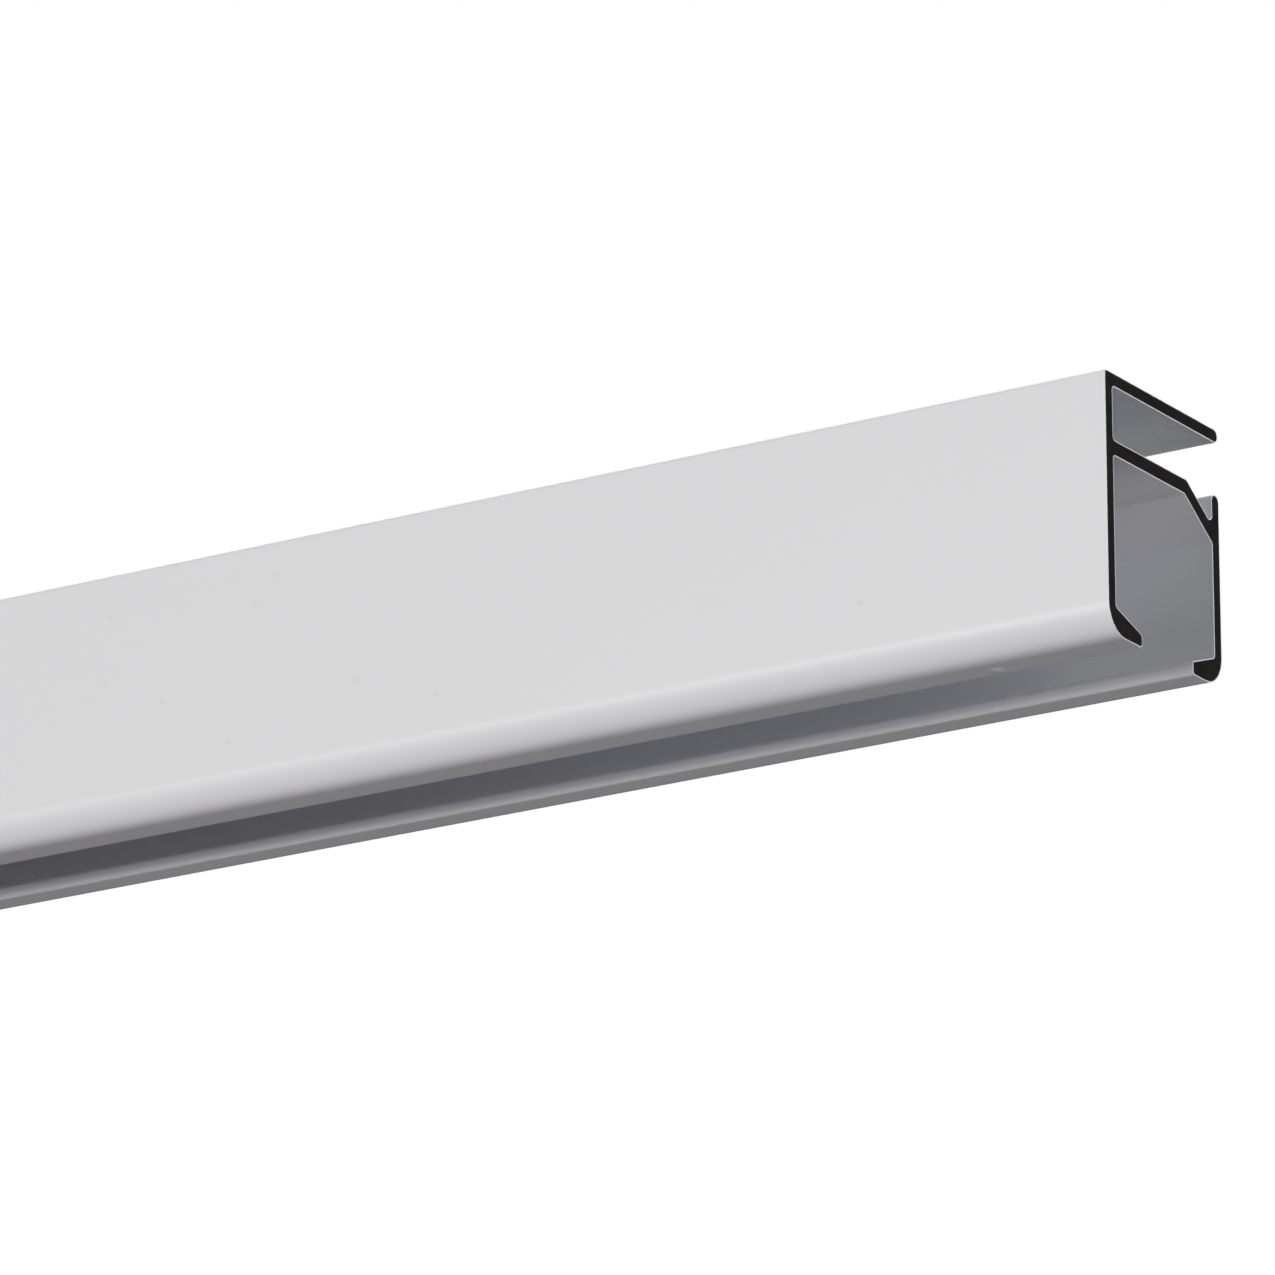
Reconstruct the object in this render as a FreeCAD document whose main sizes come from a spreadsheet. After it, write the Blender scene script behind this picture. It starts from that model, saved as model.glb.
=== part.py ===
import FreeCAD, Part
import math
import os
import Sketcher

# White-painted aluminium curtain track, drawn as the one extrusion that it is.
# The length runs along X, the painted front faces -Y, the bracket slot opens at the back,
# and the two bottom lips stand on Z = 0.

# Driving sizes, in millimetres and degrees
SIZES = [
    ("track_length", 600.0, "length of the cut piece"),
    ("height", 20.0, "from the underside of the lips to the top face"),
    ("depth", 16.6, "from the front face to the back face"),
    ("front_wall", 1.1, "thickness of the front wall"),
    ("top_wall", 1.05, "thickness of the top wall"),
    ("back_wall", 1.1, "thickness of the back wall"),
    ("web_wall", 1.2, "thickness of the web, level and sloping"),
    ("slot_height", 4.1, "clear height of the bracket slot under the top wall"),
    ("web_reach", 11.85, "from the front face to the bend of the web"),
    ("web_slope", 34.0, "fall of the web behind its bend, from level"),
    ("front_lip_reach", 4.85, "from the front face to the tip of the front bottom lip"),
    ("back_lip_reach", 4.4, "from the back face to the tip of the back bottom lip"),
    ("lip_tip", 1.0, "thickness of a bottom lip at its tip"),
    ("lip_root", 2.15, "thickness of a bottom lip where it leaves its wall"),
    ("bottom_radius", 2.4, "outer rounding of the two bottom corners"),
    ("top_radius", 0.3, "rounding of the top front corner"),
    ("tip_radius", 0.35, "rounding of the lip tips"),
    ("inner_radius", 0.3, "fillet of the inner corners"),
    ("bend_radius", 0.5, "rounding of the web at its bend, above and below"),
    ("groove_radius", 0.4, "fillet at the bottom of the groove behind the web"),
]

doc = FreeCAD.newDocument("curtain_track")
sheet = doc.addObject("Spreadsheet::Sheet", "sizes")
for row, (alias, value, note) in enumerate(SIZES, start=1):
    sheet.set("A%d" % row, alias)
    sheet.set("B%d" % row, str(value))
    sheet.set("C%d" % row, note)
    sheet.setAlias("B%d" % row, alias)
doc.recompute()


def size(alias):
    return float(sheet.get(alias))


# Stations and levels of the section: Y goes back from the front face, Z up from the lips
front = -size("depth") / 2
back = size("depth") / 2
front_inside = front + size("front_wall")
back_inside = back - size("back_wall")
front_end = front + size("front_lip_reach")
back_end = back - size("back_lip_reach")
top = size("height")
slot_top = top - size("top_wall")
web_top = slot_top - size("slot_height")
web_under = web_top - size("web_wall")
slope = math.radians(size("web_slope"))
bend = front + size("web_reach")
bend_under = bend - size("web_wall") * math.tan(slope / 2)
groove_bottom = web_top - (back_inside - bend) * math.tan(slope)
slope_foot = web_under - (back_inside - bend_under) * math.tan(slope)
nose_radius = size("top_wall") / 2
crown_radius = size("back_wall") / 2

# The outline's straight stretches in order, each as name, start and end
STRAIGHTS = [
    ("front_face", (front, 0), (front, top)),
    ("top_face", (front, top), (back - nose_radius, top)),
    ("slot_ceiling", (back - nose_radius, slot_top), (front_inside, slot_top)),
    ("slot_front", (front_inside, slot_top), (front_inside, web_top)),
    ("slot_floor", (front_inside, web_top), (bend, web_top)),
    ("slope_above", (bend, web_top), (back_inside, groove_bottom)),
    ("groove_side", (back_inside, groove_bottom), (back_inside, web_top - crown_radius)),
    ("back_face", (back, web_top - crown_radius), (back, 0)),
    ("back_sole", (back, 0), (back_end, 0)),
    ("back_tip", (back_end, 0), (back_end, size("lip_tip"))),
    ("back_ramp", (back_end, size("lip_tip")), (back_inside, size("lip_root"))),
    ("channel_back", (back_inside, size("lip_root")), (back_inside, slope_foot)),
    ("slope_below", (back_inside, slope_foot), (bend_under, web_under)),
    ("channel_ceiling", (bend_under, web_under), (front_inside, web_under)),
    ("channel_front", (front_inside, web_under), (front_inside, size("lip_root"))),
    ("front_ramp", (front_inside, size("lip_root")), (front_end, size("lip_tip"))),
    ("front_tip", (front_end, size("lip_tip")), (front_end, 0)),
    ("front_sole", (front_end, 0), (front, 0)),
]
LEVEL = ["top_face", "slot_ceiling", "slot_floor", "back_sole", "channel_ceiling", "front_sole"]
UPRIGHT = ["front_face", "slot_front", "groove_side", "back_face", "back_tip", "channel_back",
           "channel_front", "front_tip"]

body = doc.addObject("PartDesign::Body", "track_body")
body.Label = "track_profile"
section = body.newObject("Sketcher::SketchObject", "section")
across = next(plane for plane in body.Origin.OriginFeatures if plane.Role == "YZ_Plane")
section.AttachmentSupport = [(across, "")]
section.MapMode = "FlatFace"


def point(station, level):
    return FreeCAD.Vector(station, level, 0)


def half_round(centre, radius, first, last):
    circle = Part.Circle(point(*centre), FreeCAD.Vector(0, 0, 1), radius)
    return Part.ArcOfCircle(circle, math.radians(first), math.radians(last))


line = {}
for name, start, end in STRAIGHTS:
    line[name] = section.addGeometry(Part.LineSegment(point(*start), point(*end)), False)
nose_centre = (back - nose_radius, top - nose_radius)
crown_centre = (back - crown_radius, web_top - crown_radius)
nose = section.addGeometry(half_round(nose_centre, nose_radius, -90, 90), False)
crown = section.addGeometry(half_round(crown_centre, crown_radius, 0, 180), False)

START, END = 1, 2
ORIGIN = (-1, 1)
FLOOR = -1


def fix(*terms):
    return section.addConstraint(Sketcher.Constraint(*terms))


def dimension(kind, alias, *terms):
    """Adds a dimension of the sketch and binds it to its cell."""
    value = math.radians(size(alias)) if kind == "Angle" else size(alias)
    index = fix(kind, *terms, value)
    section.setExpression("Constraints[%d]" % index, "sizes." + alias)


# The outline is closed: straight to straight, and round ends run smoothly into their walls
round_ends = {"top_face": "slot_ceiling", "groove_side": "back_face"}
names = [name for name, start, end in STRAIGHTS]
for name, following in zip(names, names[1:] + names[:1]):
    if round_ends.get(name) != following:
        fix("Coincident", line[name], END, line[following], START)
fix("Tangent", line["top_face"], END, nose, END)
fix("Tangent", line["slot_ceiling"], START, nose, START)
fix("Tangent", line["groove_side"], END, crown, END)
fix("Tangent", line["back_face"], START, crown, START)
for name in LEVEL:
    fix("Horizontal", line[name])
for name in UPRIGHT:
    fix("Vertical", line[name])
fix("Parallel", line["slope_above"], line["slope_below"])

# The section stands on the floor, centred; nose and crown are flush with the back face and the web
fix("PointOnObject", line["front_face"], START, FLOOR)
fix("Symmetric", line["front_face"], START, line["back_face"], END, *ORIGIN)
fix("Tangent", nose, line["back_face"])
fix("Tangent", crown, line["slot_floor"])

front_corner = (line["front_face"], START)
back_corner = (line["back_face"], END)
dimension("DistanceX", "depth", *front_corner, *back_corner)
dimension("DistanceY", "height", *front_corner, line["front_face"], END)
dimension("DistanceY", "top_wall", line["slot_ceiling"], END, line["top_face"], START)
dimension("DistanceX", "front_wall", *front_corner, line["slot_front"], END)
dimension("DistanceX", "front_wall", *front_corner, line["channel_front"], END)
dimension("DistanceX", "back_wall", line["groove_side"], START, *back_corner)
dimension("DistanceX", "back_wall", line["channel_back"], START, *back_corner)
dimension("DistanceY", "slot_height", line["slot_front"], END, line["slot_front"], START)
dimension("DistanceX", "web_reach", *front_corner, line["slot_floor"], END)
dimension("DistanceY", "web_wall", line["channel_ceiling"], END, line["slot_floor"], START)
dimension("Distance", "web_wall", line["slope_below"], END, line["slope_above"])
dimension("Angle", "web_slope", line["slope_below"], line["channel_ceiling"])
dimension("DistanceX", "front_lip_reach", *front_corner, line["front_tip"], END)
dimension("DistanceX", "back_lip_reach", line["back_tip"], START, *back_corner)
dimension("DistanceY", "lip_tip", line["front_tip"], END, line["front_tip"], START)
dimension("DistanceY", "lip_tip", line["back_tip"], START, line["back_tip"], END)
dimension("DistanceY", "lip_root", line["front_tip"], END, line["channel_front"], END)
dimension("DistanceY", "lip_root", line["back_tip"], START, line["channel_back"], START)
doc.recompute()
if not section.FullyConstrained:
    raise RuntimeError("the section still has freedom")

extrusion = body.newObject("PartDesign::Pad", "extrusion")
extrusion.Profile = section
extrusion.SideType = "Symmetric"
extrusion.setExpression("Length", "sizes.track_length")
doc.recompute()


def long_edges(shape, places):
    """Names the edges that run along the whole length at these places of the section."""
    found = []
    for station, level in places:
        for number, edge in enumerate(shape.Edges, start=1):
            ends = [vertex.Point for vertex in edge.Vertexes]
            if all(math.hypot(end.y - station, end.z - level) < 1e-4 for end in ends):
                found.append("Edge%d" % number)
                break
        else:
            raise RuntimeError("no edge at %g, %g" % (station, level))
    return found


def round_off(name, alias, places):
    base = body.Tip
    fillet = body.newObject("PartDesign::Fillet", name)
    fillet.Base = (base, long_edges(base.Shape, places))
    fillet.setExpression("Radius", "sizes." + alias)
    body.Tip = fillet
    doc.recompute()


round_off("bottom_corners", "bottom_radius", [(front, 0), (back, 0)])
round_off("top_corner", "top_radius", [(front, top)])
round_off("lip_tips", "tip_radius", [
    (front_end, 0), (front_end, size("lip_tip")), (back_end, 0), (back_end, size("lip_tip"))])
round_off("web_bend", "bend_radius", [(bend, web_top), (bend_under, web_under)])
round_off("groove", "groove_radius", [(back_inside, groove_bottom)])
round_off("inner_corners", "inner_radius", [
    (front_inside, slot_top), (front_inside, web_top), (front_inside, web_under),
    (front_inside, size("lip_root")), (back_inside, size("lip_root")), (back_inside, slope_foot)])

for item in doc.Objects:
    if {"Invalid", "Error"} & set(item.State):
        raise RuntimeError("failed: " + item.Name)
track = body.Shape
if track.isNull() or not track.isValid() or len(track.Solids) != 1:
    raise RuntimeError("the track is not one valid solid")

os.makedirs("parts", exist_ok=True)
track.exportStep("parts/" + body.Label + ".step")
box = track.BoundBox
print("%s: %.1f x %.2f x %.2f mm, section %.2f mm2" % (
    body.Label, box.XLength, box.YLength, box.ZLength, track.Volume / box.XLength))
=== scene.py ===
import math

import bpy
from mathutils import Matrix, Vector


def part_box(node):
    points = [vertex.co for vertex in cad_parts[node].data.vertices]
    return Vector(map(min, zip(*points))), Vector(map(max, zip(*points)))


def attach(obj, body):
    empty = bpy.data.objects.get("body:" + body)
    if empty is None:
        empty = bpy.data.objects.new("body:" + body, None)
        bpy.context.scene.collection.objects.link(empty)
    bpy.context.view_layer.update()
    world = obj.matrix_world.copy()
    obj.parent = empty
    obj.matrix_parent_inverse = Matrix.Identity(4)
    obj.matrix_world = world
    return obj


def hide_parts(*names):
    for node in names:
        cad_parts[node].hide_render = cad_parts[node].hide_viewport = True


# A straight white curtain track: one painted extrusion, sawn square at both ends
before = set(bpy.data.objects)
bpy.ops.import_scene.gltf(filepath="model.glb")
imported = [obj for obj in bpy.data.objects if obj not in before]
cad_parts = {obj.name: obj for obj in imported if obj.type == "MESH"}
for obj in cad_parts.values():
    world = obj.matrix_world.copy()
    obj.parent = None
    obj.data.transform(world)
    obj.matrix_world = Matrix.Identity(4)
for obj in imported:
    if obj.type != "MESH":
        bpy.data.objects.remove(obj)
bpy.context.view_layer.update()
mm = 0.001  # sizes in the dictionaries below are in millimetres, unless their note says otherwise


class Value:  # one output of a node; sums on it add Math nodes to its tree
    def __init__(self, graph, socket):
        self.graph = graph
        self.socket = socket

    def __getitem__(self, name):  # another output of the same node
        return Value(self.graph, self.socket.node.outputs[name])

    def maths(self, operation, *values):
        return self.graph.add("ShaderNodeMath", {"operation": operation}, dict(enumerate(values)))

    def __add__(self, other):
        return self.maths("ADD", self, other)

    __radd__ = __add__

    def __sub__(self, other):
        return self.maths("SUBTRACT", self, other)

    def __rsub__(self, other):
        return self.maths("SUBTRACT", other, self)

    def __mul__(self, other):
        return self.maths("MULTIPLY", self, other)

    __rmul__ = __mul__

    def __truediv__(self, other):
        return self.maths("DIVIDE", self, other)

    def __rtruediv__(self, other):
        return self.maths("DIVIDE", other, self)

    def __gt__(self, other):
        return self.maths("GREATER_THAN", self, other)

    def __lt__(self, other):
        return self.maths("LESS_THAN", self, other)

    def __abs__(self):
        return self.maths("ABSOLUTE", self)


class Graph:  # a node tree, of a material, the world or a Geometry Nodes modifier
    def __init__(self, tree):
        self.tree = tree

    def add(self, kind, settings=None, sockets=None):
        node = self.tree.nodes.new(kind)
        for name, value in (settings or {}).items():
            setattr(node, name, value)
        for name, value in (sockets or {}).items():
            self.feed(node.inputs[name], value)
        return Value(self, node.outputs[0]) if node.outputs else node

    def feed(self, socket, value):
        if isinstance(value, Value):
            self.tree.links.new(value.socket, socket)
        else:
            socket.default_value = value

    def mixColours(self, factor, first, second):  # colour sockets 6 and 7 of a Mix node, and its output 2
        mix = self.add("ShaderNodeMix", {"data_type": "RGBA"}, {0: factor, 6: first, 7: second})
        return Value(self, mix.socket.node.outputs[2])

    def vector(self, operation, *values):
        return self.add("ShaderNodeVectorMath", {"operation": operation}, dict(enumerate(values)))


# The track

track = {
    "frontWall": 1.1,
    "topWall": 1.05,
    "backWall": 1.1,
    "webWall": 1.2,
    "slotHeight": 4.1,  # clear height of the bracket slot, under the top wall
    "webReach": 11.85,  # from the front face to the bend of the web
    "webSlope": 34.0,  # degrees below level, behind the bend
    "frontLipReach": 4.85,  # from the outer side face to the tip of the lip under it
    "backLipReach": 4.4,
    "lipTip": 1.0,
    "lipRoot": 2.15,
    "bottomRadius": 2.4,
    "topRadius": 0.3,
    "tipRadius": 0.35,
    "innerRadius": 0.3,
    "bendRadius": 0.5,
    "grooveRadius": 0.4,
    "cornerPoints": 12,  # points on each rounded corner of the section
    "stations": 61,  # rings along the length
    "weldGap": 0.0005,  # points nearer than this become one
    "edgeBreak": 0.02,  # the saw leaves no sharper edge than this
    "paintLayer": 0.06,  # thickness of the paint, bare where the saw went through
    "sharpAngle": 25.0,  # degrees; edges that turn more stay crisp
    "flatWeight": 100,  # how much the large flats rule the shading of the roundings beside them
}


# Depth, height and rounding of each corner of the section, from the front sole up and round
def sectionCorners(size, low, high):
    front, back = low.y / mm, high.y / mm
    top = high.z / mm
    insideFront, insideBack = front + size["frontWall"], back - size["backWall"]
    slotTop = top - size["topWall"]
    webTop = slotTop - size["slotHeight"]
    webUnder = webTop - size["webWall"]
    slope = math.radians(size["webSlope"])
    bend = front + size["webReach"]
    bendUnder = bend - size["webWall"] * math.tan(slope / 2)
    grooveBottom = webTop - (insideBack - bend) * math.tan(slope)
    slopeFoot = webUnder - (insideBack - bendUnder) * math.tan(slope)
    frontTip, backTip = front + size["frontLipReach"], back - size["backLipReach"]
    nose, crown = size["topWall"] / 2, size["backWall"] / 2
    return [
        (front, 0, size["bottomRadius"]),
        (front, top, size["topRadius"]),
        (back, top, nose),
        (back, slotTop, nose),
        (insideFront, slotTop, size["innerRadius"]),
        (insideFront, webTop, size["innerRadius"]),
        (bend, webTop, size["bendRadius"]),
        (insideBack, grooveBottom, size["grooveRadius"]),
        (insideBack, webTop, crown),
        (back, webTop, crown),
        (back, 0, size["bottomRadius"]),
        (backTip, 0, size["tipRadius"]),
        (backTip, size["lipTip"], size["tipRadius"]),
        (insideBack, size["lipRoot"], size["innerRadius"]),
        (insideBack, slopeFoot, size["innerRadius"]),
        (bendUnder, webUnder, size["bendRadius"]),
        (insideFront, webUnder, size["innerRadius"]),
        (insideFront, size["lipRoot"], size["innerRadius"]),
        (frontTip, size["lipTip"], size["tipRadius"]),
        (frontTip, 0, size["tipRadius"]),
    ]


def sectionCurve(corners):  # a closed curve with sharp corners; each point's radius is its rounding
    curve = bpy.data.curves.new("trackSection", "CURVE")
    curve.dimensions = "3D"
    spline = curve.splines.new("POLY")
    spline.points.add(len(corners) - 1)
    for point, (depth, height, radius) in zip(spline.points, reversed(corners)):
        point.co = (-depth * mm, -height * mm, 0, 1)  # the sweep turns the section half round
        point.radius = radius * mm
    spline.use_cyclic_u = True
    section = bpy.data.objects.new("trackSection", curve)
    bpy.context.scene.collection.objects.link(section)
    return section


def sweepTree():  # rounds the section, sweeps it along X and finishes the two sawn ends
    tree = bpy.data.node_groups.new("trackSweep", "GeometryNodeTree")
    face = tree.interface
    face.new_socket("Section", in_out="INPUT", socket_type="NodeSocketGeometry")
    for name, kind in [
        ("Length", "NodeSocketFloat"),
        ("Corner Points", "NodeSocketInt"),
        ("Stations", "NodeSocketInt"),
        ("Weld Gap", "NodeSocketFloat"),
        ("Edge Break", "NodeSocketFloat"),
        ("Paint Layer", "NodeSocketFloat"),
        ("Sharp Angle", "NodeSocketFloat"),
        ("Paint", "NodeSocketMaterial"),
        ("Sawn Metal", "NodeSocketMaterial"),
    ]:
        face.new_socket(name, in_out="INPUT", socket_type=kind)
    face.new_socket("Track", in_out="OUTPUT", socket_type="NodeSocketGeometry")

    graph = Graph(tree)
    given = graph.add("NodeGroupInput")
    rounded = graph.add("GeometryNodeFilletCurve", {"mode": "POLY"}, {
        "Curve": given["Section"],
        "Count": given["Corner Points"],
        "Radius": graph.add("GeometryNodeInputRadius"),
        "Limit Radius": True,
    })
    evenRadius = graph.add("GeometryNodeSetCurveRadius", {}, {"Curve": rounded, "Radius": 1.0})
    half = given["Length"] / 2 - given["Edge Break"]
    path = graph.add("GeometryNodeCurvePrimitiveLine", {}, {
        "Start": graph.add("ShaderNodeCombineXYZ", {}, {"X": 0 - half}),
        "End": graph.add("ShaderNodeCombineXYZ", {}, {"X": half}),
    })
    stations = graph.add("GeometryNodeResampleCurve", {}, {"Curve": path, "Count": given["Stations"]})
    swept = graph.add("GeometryNodeCurveToMesh", {}, {
        "Curve": stations, "Profile Curve": evenRadius, "Fill Caps": True})
    merged = graph.add("GeometryNodeMergeByDistance", {}, {
        "Geometry": swept, "Distance": given["Weld Gap"]})

    normal = graph.add("GeometryNodeInputNormal")
    flat = graph.vector("NORMALIZE", graph.vector("MULTIPLY", normal, (0, 1, 1)))
    kept = graph.add("GeometryNodeStoreNamedAttribute", {"data_type": "FLOAT_VECTOR"}, {
        "Geometry": merged, "Name": "outward", "Value": flat})
    outward = graph.add("GeometryNodeInputNamedAttribute", {"data_type": "FLOAT_VECTOR"}, {
        "Name": "outward"})
    endward = graph.add("ShaderNodeSeparateXYZ", {}, {0: graph.add("GeometryNodeInputNormal")})["X"]
    side = graph.add("ShaderNodeSeparateXYZ", {}, {0: graph.add("GeometryNodeInputPosition")})["X"]

    # A new ring on the end faces, moved inwards and along the length
    def step(mesh, selection, inset, advance):
        grown = graph.add("GeometryNodeExtrudeMesh", {"mode": "FACES"}, {
            "Mesh": mesh, "Selection": selection, "Offset Scale": 0.0, "Individual": False})
        inwards = graph.add("ShaderNodeVectorMath", {"operation": "SCALE"}, {
            0: outward, "Scale": 0 - inset})
        along = graph.add("ShaderNodeCombineXYZ", {}, {"X": side.maths("SIGN", side) * advance})
        moved = graph.add("GeometryNodeSetPosition", {}, {
            "Geometry": grown, "Selection": grown["Top"], "Offset": graph.vector("ADD", inwards, along)})
        return moved, grown["Top"]

    endFaces = abs(endward) > 0.5  # their normals lie along the length
    broken, rim = step(kept, endFaces, given["Edge Break"], given["Edge Break"])
    layered, core = step(broken, rim, given["Paint Layer"], 0.0)
    bare = graph.add("GeometryNodeRemoveAttribute", {}, {"Geometry": layered, "Name": "outward"})
    smooth = graph.add("GeometryNodeSetShadeSmooth", {"domain": "FACE"}, {
        "Geometry": bare, "Shade Smooth": True})
    turn = graph.add("GeometryNodeInputMeshEdgeAngle")
    crisp = graph.add("GeometryNodeSetShadeSmooth", {"domain": "EDGE"}, {
        "Geometry": smooth, "Selection": turn > given["Sharp Angle"], "Shade Smooth": False})
    realized = graph.add("GeometryNodeRealizeInstances", {}, {"Geometry": crisp})
    painted = graph.add("GeometryNodeSetMaterial", {}, {"Geometry": realized, "Material": given["Paint"]})
    sawn = graph.add("GeometryNodeSetMaterial", {}, {
        "Geometry": painted, "Selection": core, "Material": given["Sawn Metal"]})
    graph.add("NodeGroupOutput", {}, {"Track": sawn})
    return tree


def plainMesh(source, name):  # what the modifiers make of the source, as a mesh of its own
    bpy.context.view_layer.update()
    result = source.evaluated_get(bpy.context.evaluated_depsgraph_get())
    made = bpy.data.objects.new(name, bpy.data.meshes.new_from_object(result))
    bpy.context.scene.collection.objects.link(made)
    bpy.data.objects.remove(source)
    return made


def makeTrack(size, low, high, paint, sawnMetal):
    section = sectionCurve(sectionCorners(size, low, high))
    tree = sweepTree()
    sweep = section.modifiers.new("sweep", "NODES")
    sweep.node_group = tree
    chosen = {
        "Length": high.x - low.x,
        "Corner Points": size["cornerPoints"],
        "Stations": size["stations"],
        "Weld Gap": size["weldGap"] * mm,
        "Edge Break": size["edgeBreak"] * mm,
        "Paint Layer": size["paintLayer"] * mm,
        "Sharp Angle": math.radians(size["sharpAngle"]),
        "Paint": paint,
        "Sawn Metal": sawnMetal,
    }
    for item in tree.interface.items_tree:
        if item.in_out == "INPUT" and item.name in chosen:
            sweep[item.identifier] = chosen[item.name]
    shell = plainMesh(section, "trackShell")
    weigh = shell.modifiers.new("flatFaces", "WEIGHTED_NORMAL")
    weigh.weight = size["flatWeight"]
    weigh.keep_sharp = True
    return plainMesh(shell, "curtainTrack")


# Finishes

paintLook = {
    "colour": (0.83, 0.83, 0.845),
    "roughness": 0.42,
    "peelSize": 1.6,  # width of the orange peel's cells
    "peelDepth": 0.004,
    "lineSize": 0.5,  # spacing across the section of the faint drawing lines under the paint
    "lineDepth": 0.0006,
    "lineStretch": 250.0,  # how many times longer than wide the lines are
    "dotTone": 0.94,  # how much of the paint's colour is left in a dot of dust
    "dots": [  # place on the object and radius
        (225.2, -8.3, 15.3, 0.30),
        (211.2, -8.3, 11.3, 0.28),
        (234.5, -8.3, 7.6, 0.30),
        (279.1, -8.3, 5.8, 0.40),
        (216.6, -8.3, 8.8, 0.26),
        (222.9, -8.3, 4.6, 0.28),
        (211.7, -8.3, 16.6, 0.26),
        (227.2, -8.3, 17.2, 0.28),
        (241.9, -8.3, 5.3, 0.36),
        (252.5, 3.9, 0.27, 0.30),
        (249.5, 3.9, 0.39, 0.30),
    ],
    "scuff": (288.6, -4.6, 0.0, 0.75),  # a pale raised speck under the front lip, its colour lifted toward white
    "scuffTone": (1.0, 1.0, 1.0),
    "scuffHeight": 0.12,
    "scuffRoughness": 0.2,  # more than the paint's
    "spotCore": 0.4,  # the share of a dot's radius within which it is full
    "patchSize": 11.0,  # patches of paint that differ a little in gloss
    "patchRoughness": 0.05,
}

sawnLookInShade = {
    # Near-black: painted shade and painted dark reflection stand in for the bare sawn aluminium's own
    # colour
    "colour": (0.11, 0.098, 0.082),
    "roughness": 0.42,
    "bladeCentre": (0.0, -60.0, -105.0),  # the blade's axis, below and in front of the section
    "toothPitch": 0.22,  # spacing of the saw marks
    "toothDepth": 0.006,
    "grooveTone": 0.55,  # how much of the metal's colour is left in the low parts of a saw mark: painted shade in the grooves
    "grooveVariety": 4.0,  # how many times finer than the saw marks their strength changes
    "grainSize": 1.43,  # of the metal's unevenness, which also bends the saw marks
    "grainBend": 1.2,
    "grainRoughness": 0.25,
}


def startMaterial(name):
    material = bpy.data.materials.new(name)
    material.use_nodes = True
    graph = Graph(material.node_tree)
    shader = next(n for n in material.node_tree.nodes if n.type == "BSDF_PRINCIPLED")
    place = graph.add("ShaderNodeTexCoord")["Object"]
    return material, graph, shader, place


def spot(graph, place, centre, radius, core):  # 1 inside a small ball, fading out at its edge
    away = graph.add("ShaderNodeVectorMath", {"operation": "DISTANCE"}, {
        0: place, 1: [c * mm for c in centre]})
    return graph.add("ShaderNodeMapRange", {"interpolation_type": "SMOOTHSTEP"}, {
        "Value": away["Value"], "From Min": radius * mm, "From Max": core * radius * mm})


def makePaint(look):
    material, graph, shader, place = startMaterial("whitePaint")
    cells = graph.add("ShaderNodeTexNoise", {}, {
        "Vector": place, "Scale": 1 / (look["peelSize"] * mm), "Detail": 1.5, "Roughness": 0.4})
    stretched = graph.vector("MULTIPLY", place, (1 / look["lineStretch"], 1, 1))
    lines = graph.add("ShaderNodeTexNoise", {}, {
        "Vector": stretched, "Scale": 1 / (look["lineSize"] * mm), "Detail": 3.0, "Roughness": 0.6})
    patches = graph.add("ShaderNodeTexNoise", {}, {
        "Vector": place, "Scale": 1 / (look["patchSize"] * mm), "Detail": 3.0})

    dots = 0.0
    for x, y, z, radius in look["dots"]:
        dots = dots + spot(graph, place, (x, y, z), radius, look["spotCore"])
    # A pale spot under the front lip: colour lifted toward white, rougher, and raised in the relief
    x, y, z, radius = look["scuff"]
    scuff = spot(graph, place, (x, y, z), radius, look["spotCore"])

    colour = (*look["colour"], 1)
    dusty = (*[c * look["dotTone"] for c in look["colour"]], 1)
    dotted = graph.mixColours(dots, colour, dusty)
    graph.feed(shader.inputs["Base Color"], graph.mixColours(scuff, dotted, (*look["scuffTone"], 1)))
    uneven = (patches - 0.5) * look["patchRoughness"] + scuff * look["scuffRoughness"]
    graph.feed(shader.inputs["Roughness"], look["roughness"] + uneven)
    height = cells * look["peelDepth"] + lines * look["lineDepth"] + scuff * look["scuffHeight"]
    relief = graph.add("ShaderNodeBump", {}, {"Strength": 1.0, "Distance": mm, "Height": height})
    graph.feed(shader.inputs["Normal"], relief)
    return material


def makeSawnMetal(look):
    material, graph, shader, place = startMaterial("sawnMetal")
    flat = graph.vector("MULTIPLY", place, (0, 1, 1))
    reach = graph.add("ShaderNodeVectorMath", {"operation": "DISTANCE"}, {
        0: flat, 1: [c * mm for c in look["bladeCentre"]]})["Value"]
    grain = graph.add("ShaderNodeTexNoise", {}, {
        "Vector": place, "Scale": 1 / (look["grainSize"] * mm), "Detail": 3.0})
    turns = reach / (look["toothPitch"] * mm) + grain * look["grainBend"]
    wave = turns.maths("SINE", turns * (2 * math.pi)) * 0.5 + 0.5
    strength = graph.add("ShaderNodeTexNoise", {"noise_dimensions": "1D"}, {
        "W": reach, "Scale": look["grooveVariety"] / (look["toothPitch"] * mm), "Detail": 2.0})
    grooves = wave * strength

    # The sawn face's near-black tone is painted shade and painted dark reflection
    light = (*look["colour"], 1)
    # Darker in the low parts of the saw marks: painted shade in the grooves
    shadedGroove = (*[c * look["grooveTone"] for c in look["colour"]], 1)
    graph.feed(shader.inputs["Base Color"], graph.mixColours(grooves, shadedGroove, light))
    graph.feed(shader.inputs["Roughness"], look["roughness"] + (grain - 0.5) * look["grainRoughness"])
    shader.inputs["Metallic"].default_value = 1.0
    relief = graph.add("ShaderNodeBump", {}, {
        "Strength": 1.0, "Distance": mm, "Height": grooves * look["toothDepth"]})
    graph.feed(shader.inputs["Normal"], relief)
    return material


paint = makePaint(paintLook)
sawnMetal = makeSawnMetal(sawnLookInShade)
print("finishes: white paint and sawn metal")

low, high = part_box("track_profile")
curtainTrack = makeTrack(track, low, high, paint, sawnMetal)
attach(curtainTrack, "root")
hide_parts("track_profile")
print("track:", len(curtainTrack.data.polygons), "faces")


# Studio

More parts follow.
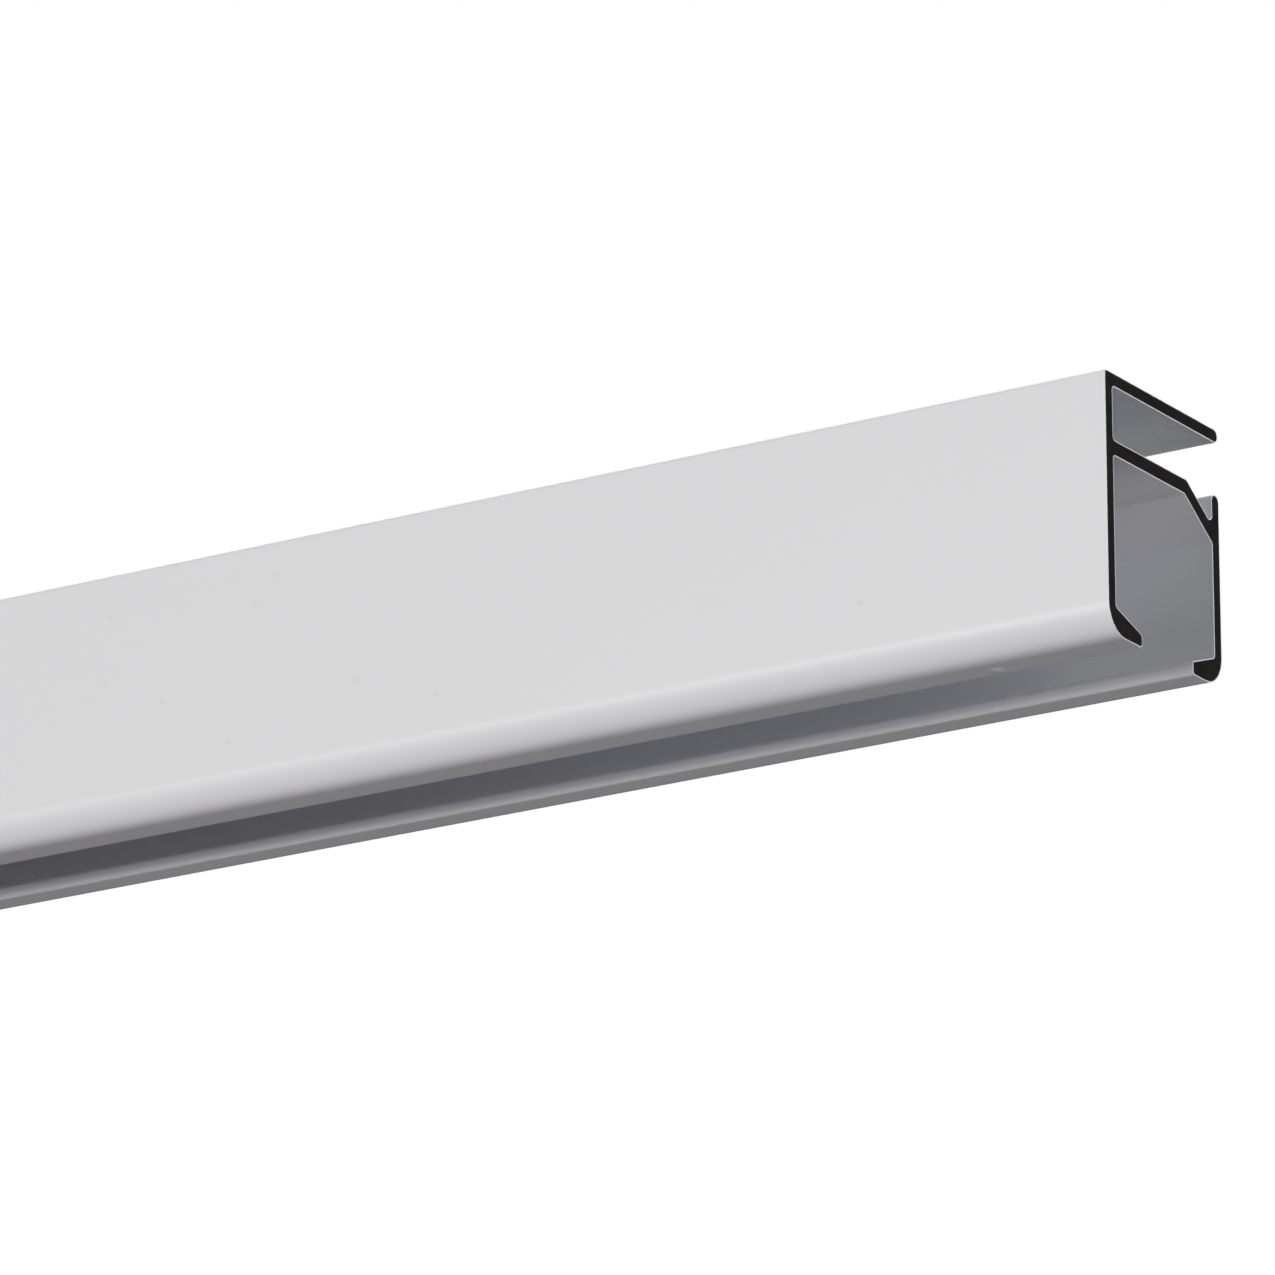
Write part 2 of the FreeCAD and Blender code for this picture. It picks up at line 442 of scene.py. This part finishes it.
studio = {
    "floorDrop": 4200.0,  # the track hangs clear, and is seen from below
    "floorSize": 60000.0,
    "floorTones": (0.80, 0.82),
    "floorCloudSize": 500.0,  # of the patches between the two tones
    "floorRoughness": 0.9,
    "floorGlow": 0.62,  # its own light, so that it stays pale without lighting the track
    "backdrop": (1.0, 1.0, 1.0),  # what the camera sees around the object
    "ambient": (0.066, 0.066, 0.068),  # weak light from all round, which the camera doesn't see
    "viewTransform": "Standard",
}

# Each is aimed at the right end of the track; angles in degrees, distances and sizes in millimetres
softboxes = {
    "front": {
        "azimuth": -18, "elevation": 3, "distance": 1500, "width": 560, "height": 524,
        "power": 13.5, "tint": (1.0, 0.993, 0.976)},
    "corner": {
        "azimuth": 55, "elevation": 0, "distance": 1500, "width": 800, "height": 600,
        "power": 3.8, "tint": (1, 1, 1)},
    "end": {
        "azimuth": 90, "elevation": 0, "distance": 1500, "width": 800, "height": 600,
        "power": 13.4, "tint": (0.80, 0.85, 1.0)},
    "lowFront": {
        "azimuth": 0, "elevation": -58, "distance": 1500, "width": 1700, "height": 500,
        "power": 1.7, "tint": (0.9, 0.91, 1.0)},
    "lowLeft": {
        "azimuth": -90, "elevation": -62, "distance": 1500, "width": 900, "height": 700,
        "power": 2.9, "tint": (1.0, 0.93, 0.91)},
    "rear": {
        "azimuth": 215, "elevation": 22, "distance": 1500, "width": 1100, "height": 600,
        "power": 10.0, "tint": (1, 1, 1)},
    "top": {
        "azimuth": 180, "elevation": 76, "distance": 1400, "width": 1800, "height": 600,
        "power": 12.0, "tint": (1, 1, 1)},
}

viewpoint = {  # of the photographed camera, found from the long edges and the corners of the sawn end
    "azimuth": 32.639,
    "elevation": -17.820,
    "roll": -0.086,
    "distance": 681.272,
    "aim": (271.456, -26.434, -0.386),
    "lens": 268.235,
    "sensor": 36.0,
}


# From the object towards the camera or a light; azimuth 0 is straight in front
def direction(azimuth, elevation):
    turn, rise = math.radians(azimuth), math.radians(elevation)
    return Vector((math.sin(turn) * math.cos(rise), -math.cos(turn) * math.cos(rise), math.sin(rise)))


def makeWorld(settings):  # white behind the object, a weaker light on it
    world = bpy.data.worlds.new("studio")
    world.use_nodes = True
    bpy.context.scene.world = world
    graph = Graph(world.node_tree)
    sky = next(n for n in world.node_tree.nodes if n.type == "BACKGROUND")
    seen = graph.add("ShaderNodeLightPath")["Is Camera Ray"]
    ambient, backdrop = (*settings["ambient"], 1), (*settings["backdrop"], 1)
    graph.feed(sky.inputs["Color"], graph.mixColours(seen, ambient, backdrop))


def makeFloor(settings):
    half = settings["floorSize"] * mm / 2
    mesh = bpy.data.meshes.new("studioFloor")
    corners = [(-half, -half, 0), (half, -half, 0), (half, half, 0), (-half, half, 0)]
    mesh.from_pydata(corners, [], [(0, 1, 2, 3)])
    mesh.transform(Matrix.Translation((0, 0, -settings["floorDrop"] * mm)))
    floor = bpy.data.objects.new("studioFloor", mesh)
    bpy.context.scene.collection.objects.link(floor)
    floor.visible_diffuse = False
    floor.visible_glossy = False
    material, graph, shader, place = startMaterial("paleFloor")
    clouds = graph.add("ShaderNodeTexNoise", {}, {
        "Vector": place, "Scale": 1 / (settings["floorCloudSize"] * mm), "Detail": 2.0})
    darker, paler = [(tone, tone, tone, 1) for tone in settings["floorTones"]]
    graph.feed(shader.inputs["Base Color"], graph.mixColours(clouds, darker, paler))
    shader.inputs["Roughness"].default_value = settings["floorRoughness"]
    shader.inputs["Emission Color"].default_value = (1, 1, 1, 1)
    shader.inputs["Emission Strength"].default_value = settings["floorGlow"]
    mesh.materials.append(material)


def makeSoftbox(name, box, target):
    light = bpy.data.lights.new(name, "AREA")
    light.shape = "RECTANGLE"
    light.size = box["width"] * mm
    light.size_y = box["height"] * mm
    light.energy = box["power"]
    light.color = box["tint"]
    lamp = bpy.data.objects.new(name, light)
    bpy.context.scene.collection.objects.link(lamp)
    away = direction(box["azimuth"], box["elevation"])
    lamp.location = target + away * box["distance"] * mm
    lamp.rotation_mode = "QUATERNION"
    lamp.rotation_quaternion = away.to_track_quat("Z", "Y")


def makeCamera(view):
    back = direction(view["azimuth"], view["elevation"])
    right = direction(view["azimuth"] + 90, 0)
    up = back.cross(right)
    turn = Matrix.Rotation(math.radians(view["roll"]), 3, "Z")
    camera = bpy.data.cameras.new("photoCamera")
    camera.lens = view["lens"]
    camera.sensor_width = view["sensor"]
    viewer = bpy.data.objects.new("photoCamera", camera)
    bpy.context.scene.collection.objects.link(viewer)
    facing = Matrix((right, up, back)).transposed() @ turn
    stand = Vector(view["aim"]) * mm + back * view["distance"] * mm
    viewer.matrix_world = Matrix.Translation(stand) @ facing.to_4x4()
    bpy.context.scene.camera = viewer


makeWorld(studio)
makeFloor(studio)
for name, box in softboxes.items():
    makeSoftbox(name, box, Vector((high.x, 0, (low.z + high.z) / 2)))
makeCamera(viewpoint)
bpy.context.scene.view_settings.view_transform = studio["viewTransform"]
bpy.context.scene.view_settings.look = "None"
print("studio:", len(softboxes), "softboxes, floor, world and camera")
